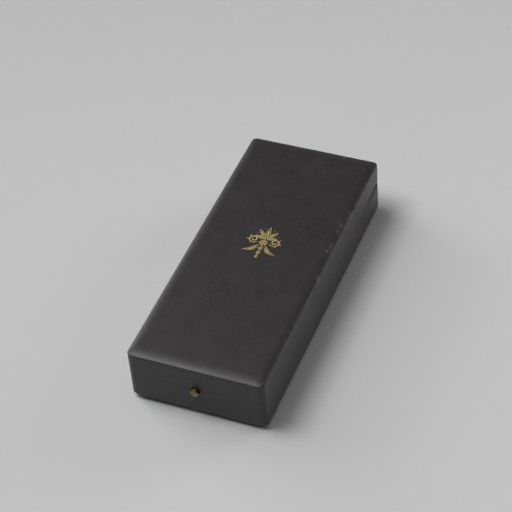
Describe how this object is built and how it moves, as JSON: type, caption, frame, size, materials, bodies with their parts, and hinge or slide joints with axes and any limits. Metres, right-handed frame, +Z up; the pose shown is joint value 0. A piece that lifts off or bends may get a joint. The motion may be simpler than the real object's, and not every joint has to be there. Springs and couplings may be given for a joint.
{
  "type": "leather box",
  "caption": "Long flat leather-covered presentation case with a hinged crowned lid, a brass push-button catch, padded linings and a small gilt ornament.",
  "frame": {"origin": "middle of the underside, on the plane that the case stands on", "axes": "+Z up, the case's length along Y with the push-button facing -Y, its width along X"},
  "size_m": [0.0844, 0.2044, 0.0379],
  "materials": {
    "black_leather": "fine-grained black leather, slightly worn along the edges",
    "lime_wood": "plain planed lime wood",
    "black_paper": "matt black paper over card",
    "blue_velvet": "dark blue velvet over card",
    "ivory_silk": "ivory silk over card",
    "brass": "lightly tarnished brass",
    "steel": "plain steel",
    "gold_leaf": "gold leaf stamped on leather"
  },
  "bodies": {
    "base": {"base_leather": "black_leather", "base_bottom_board": "lime_wood", "base_front_board": "lime_wood", "base_back_board": "lime_wood", "base_left_board": "lime_wood", "base_right_board": "lime_wood", "underside_panel": "black_paper", "velvet_lining_front": "blue_velvet", "velvet_lining_back": "blue_velvet", "velvet_lining_left": "blue_velvet", "velvet_lining_right": "blue_velvet", "bed_pad": "blue_velvet", "hinge_leaf_base_left": "brass", "hinge_leaf_base_right": "brass", "hinge_pin_left": "steel", "hinge_pin_right": "steel", "hinge_screw_base_left_1": "steel", "hinge_screw_base_left_2": "steel", "hinge_screw_base_right_1": "steel", "hinge_screw_base_right_2": "steel", "leaf_spring": "brass", "spring_screw_1": "steel", "spring_screw_2": "steel"},
    "lid": {"lid_leather": "black_leather", "lid_top_board": "lime_wood", "lid_front_board": "lime_wood", "lid_back_board": "lime_wood", "lid_left_board": "lime_wood", "lid_right_board": "lime_wood", "silk_lining_front": "ivory_silk", "silk_lining_back": "ivory_silk", "silk_lining_left": "ivory_silk", "silk_lining_right": "ivory_silk", "lid_pad": "ivory_silk", "hinge_leaf_lid_left": "brass", "hinge_leaf_lid_right": "brass", "hinge_screw_lid_left_1": "steel", "hinge_screw_lid_left_2": "steel", "hinge_screw_lid_right_1": "steel", "hinge_screw_lid_right_2": "steel", "keeper_plate": "brass", "keeper_screw_1": "steel", "keeper_screw_2": "steel", "gilt_rosette": "gold_leaf", "gilt_palmette": "gold_leaf", "gilt_pendant": "gold_leaf", "gilt_scroll_left": "gold_leaf", "gilt_scroll_right": "gold_leaf", "gilt_leaf_left": "gold_leaf", "gilt_leaf_right": "gold_leaf"},
    "button": {"push_button": "brass"}
  },
  "joints": [
    {"name": "lid_hinge", "type": "hinge", "parent": "base", "child": "lid", "pos_m": [0, 0.1003, 0.0217], "axis": [-1, 0, 0], "range_deg": [0, 100]},
    {"name": "button_slide", "type": "slide", "parent": "base", "child": "button", "axis": [0, 1, 0], "range_m": [0, 0.0008], "stiffness_N_per_m": 800, "springref_m": -0.0015, "deforming": ["leaf_spring"]}
  ]
}
